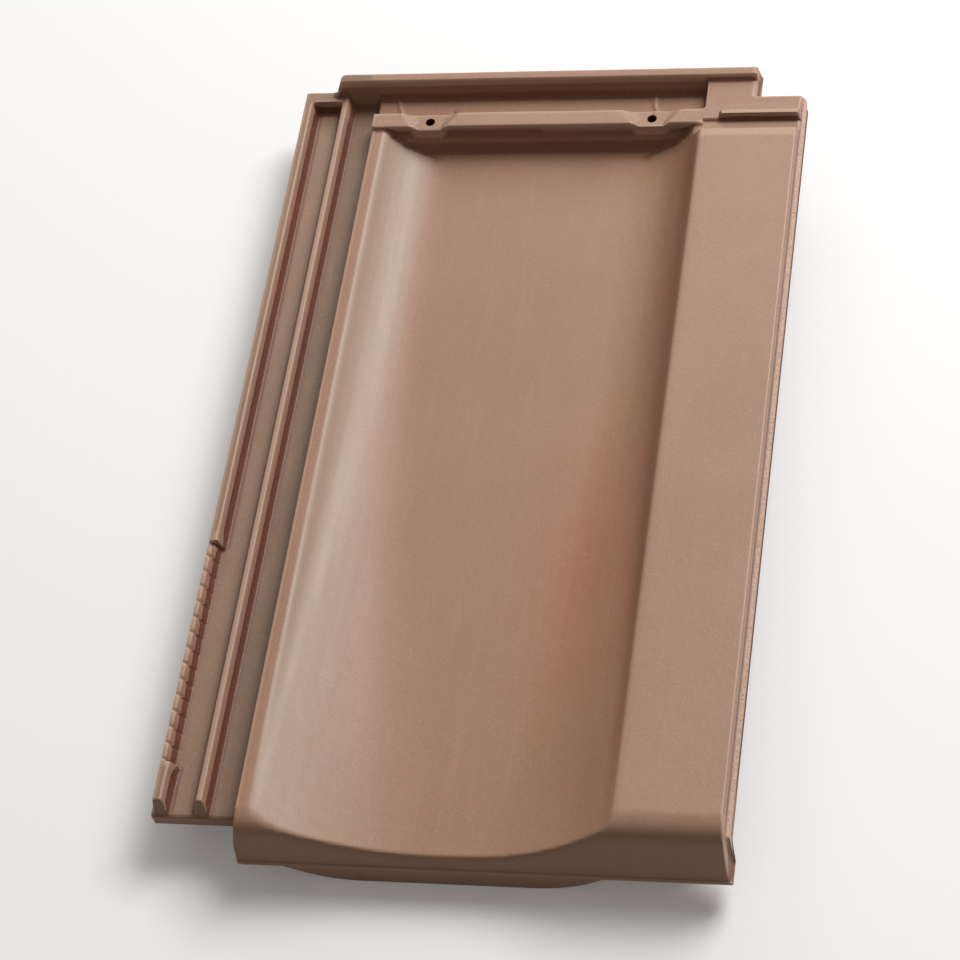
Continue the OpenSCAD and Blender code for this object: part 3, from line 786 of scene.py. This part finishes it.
def coat_over_clay(tree, coat, facing, clouds, in_pan):
    """The coat, with the red clay bare on steep flanks. On the pan's slopes it only grows thinner."""
    red = blend(tree, ranged(tree, clouds, 0.4, 0.6), linear(106, 38, 12), linear(82, 28, 8))
    sloping = blend(tree, ranged(tree, facing["Z"], 0.4, 0.75), linear(146, 104, 80), coat)
    bare = blend(tree, ranged(tree, facing["Z"], 0.45, 0.85), red, coat)
    return blend(tree, in_pan, bare, sloping)


def marked(tree, base, grain, speckle, front):
    """Adds painted highlights on arrises, painted shade in creases, the rough trimmed edges, grain, light
    specks and the brown front as painted shade.
    """
    edge_light_crease_shade = attribute(tree, "edge_light_crease_shade")
    # Painted highlight on the arrises and painted shade in the creases, both from the curvature
    base = blend(tree, ranged(tree, edge_light_crease_shade, -0.03, -0.11, 0, 0.55), base, linear(200, 162, 138))
    base = blend(tree, ranged(tree, edge_light_crease_shade, 0.015, 0.07, 0, 0.75), base, linear(112, 66, 44))
    rough = calc(tree, "MULTIPLY", attribute(tree, "trimmed"), ranged(tree, grain, 0.3, 0.6, 0.4, 1))
    base = blend(tree, rough, base, linear(214, 178, 155))
    base = blend(tree, ranged(tree, grain, 0.6, 0.75, 0, 0.3), base, linear(120, 88, 70))
    base = blend(tree, ranged(tree, speckle, 0.66, 0.72, 0, 0.35), base, linear(222, 200, 182))
    # Painted shade on the forward faces at the foot
    return blend(tree, calc(tree, "MULTIPLY", front, 0.9), base, linear(116, 74, 40))


def grainy_bump(tree, coords, grain, speckle):
    """The normal of a finely grained surface."""
    relief = calc(tree, "ADD", calc(tree, "MULTIPLY", grain, 0.6), calc(tree, "MULTIPLY", speckle, 0.5))
    relief = calc(tree, "ADD", relief, noise(tree, coords, 220, 3))
    bump = add(tree, "ShaderNodeBump")
    bump.inputs["Strength"].default_value = 0.25
    bump.inputs["Distance"].default_value = 0.0004
    tree.links.new(relief, bump.inputs["Height"])
    return bump.outputs["Normal"]


def fired_clay():
    """Matt grey-brown engobe over red clay, which shows on the steep faces."""
    material = bpy.data.materials.new("fired_clay")
    material.use_nodes = True
    tree = material.node_tree
    shader = tree.nodes["Principled BSDF"]
    coords = add(tree, "ShaderNodeTexCoord").outputs["Object"]
    normal = add(tree, "ShaderNodeSeparateXYZ")
    tree.links.new(add(tree, "ShaderNodeNewGeometry").outputs["Normal"], normal.inputs[0])
    facing = normal.outputs
    place = add(tree, "ShaderNodeSeparateXYZ")
    tree.links.new(coords, place.inputs[0])
    # Painted shade: faces at the foot that look forward, away from the lamps, are turned dark brown
    at_foot = ranged(tree, place.outputs["Y"], -0.19, -0.2)
    front = calc(tree, "MULTIPLY", at_foot, ranged(tree, facing["Y"], -0.4, -0.95))

    clouds = noise(tree, coords, 14, 4)
    streaks = noise(tree, coords, 30, 4, 0.6, (6, 0.5, 1))
    grain = noise(tree, coords, 900, 2, 0.7)
    speckle = noise(tree, coords, 1700, 1)
    in_pan = attribute(tree, "pan")

    coat = engobe(tree, coords, facing, clouds, streaks, in_pan)
    base = coat_over_clay(tree, coat, facing, clouds, in_pan)
    base = marked(tree, base, grain, speckle, front)
    tree.links.new(base, shader.inputs["Base Color"])
    shader.inputs["Specular IOR Level"].default_value = 0.75
    tree.links.new(ranged(tree, streaks, 0.3, 0.7, 0.49, 0.54), shader.inputs["Roughness"])
    tree.links.new(grainy_bump(tree, coords, grain, speckle), shader.inputs["Normal"])
    return material


def floor_material():
    """Matt and nearly white, faintly lit from within so that it stays close to the photograph's white."""
    material = bpy.data.materials.new("pale_floor")
    material.use_nodes = True
    shader = material.node_tree.nodes["Principled BSDF"]
    shader.inputs["Base Color"].default_value = (0.92, 0.92, 0.92, 1)
    shader.inputs["Emission Color"].default_value = (1, 1, 1, 1)
    shader.inputs["Emission Strength"].default_value = 0.1
    shader.inputs["Roughness"].default_value = 0.9
    return material


# ---------------------------------------------------------------- stage

def make_floor():
    """A wide level floor at height 0."""
    mesh = bpy.data.meshes.new("floor")
    side = 12.0
    corners = [(-side, -side, 0), (side, -side, 0), (side, side, 0), (-side, side, 0)]
    mesh.from_pydata(corners, [], [(0, 1, 2, 3)])
    mesh.materials.append(floor_material())
    floor = bpy.data.objects.new("floor", mesh)
    bpy.context.scene.collection.objects.link(floor)
    return floor


def make_camera():
    """At the photograph's viewing angle: 23.4 degrees to the right, 54.3 down and turned 18.7."""
    camera = bpy.data.cameras.new("camera")
    camera.lens = 114.5
    camera.sensor_width = 36
    holder = bpy.data.objects.new("camera", camera)
    bpy.context.scene.collection.objects.link(holder)
    target = Vector((-0.00065, -0.03525, 0.05))
    place = Vector((0.37105, -0.89245, 1.3488))
    aim = (target - place).to_track_quat("-Z", "Y").to_matrix()
    turn = aim @ Matrix.Rotation(math.radians(-18.7), 3, "Z")
    holder.matrix_world = Matrix.Translation(place) @ turn.to_4x4()
    bpy.context.scene.camera = holder


def make_light(name, place, size, power, target=(0, 0, 0.03)):
    """A rectangular lamp that points at the tile."""
    light = bpy.data.lights.new(name, "AREA")
    light.shape = "RECTANGLE"
    light.size, light.size_y = size
    light.energy = power
    holder = bpy.data.objects.new(name, light)
    bpy.context.scene.collection.objects.link(holder)
    holder.location = place
    holder.rotation_euler = (Vector(target) - Vector(place)).to_track_quat("-Z", "Y").to_euler()


def make_lights():
    """A key lamp from behind on the right, a weak fill from behind on the left, and a dim warm sky."""
    make_light("key", (1.2, 1.5, 2.2), (1.7, 1.4), 76)
    make_light("fill", (-0.5, 2.2, 1.2), (1.5, 0.8), 12)
    world = bpy.data.worlds.new("studio")
    world.use_nodes = True
    background = world.node_tree.nodes["Background"]
    background.inputs["Color"].default_value = (1, 0.93, 0.86, 1)
    background.inputs["Strength"].default_value = 0.2
    bpy.context.scene.world = world


tile = make_tile()
tile.data.materials.clear()
tile.data.materials.append(fired_clay())
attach(tile, "root")
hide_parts("roof_tile")
make_floor()
make_camera()
make_lights()
bpy.context.scene.view_settings.view_transform = "Standard"

triangles = sum(len(face.vertices) - 2 for face in tile.data.polygons)
print("triangles", triangles)
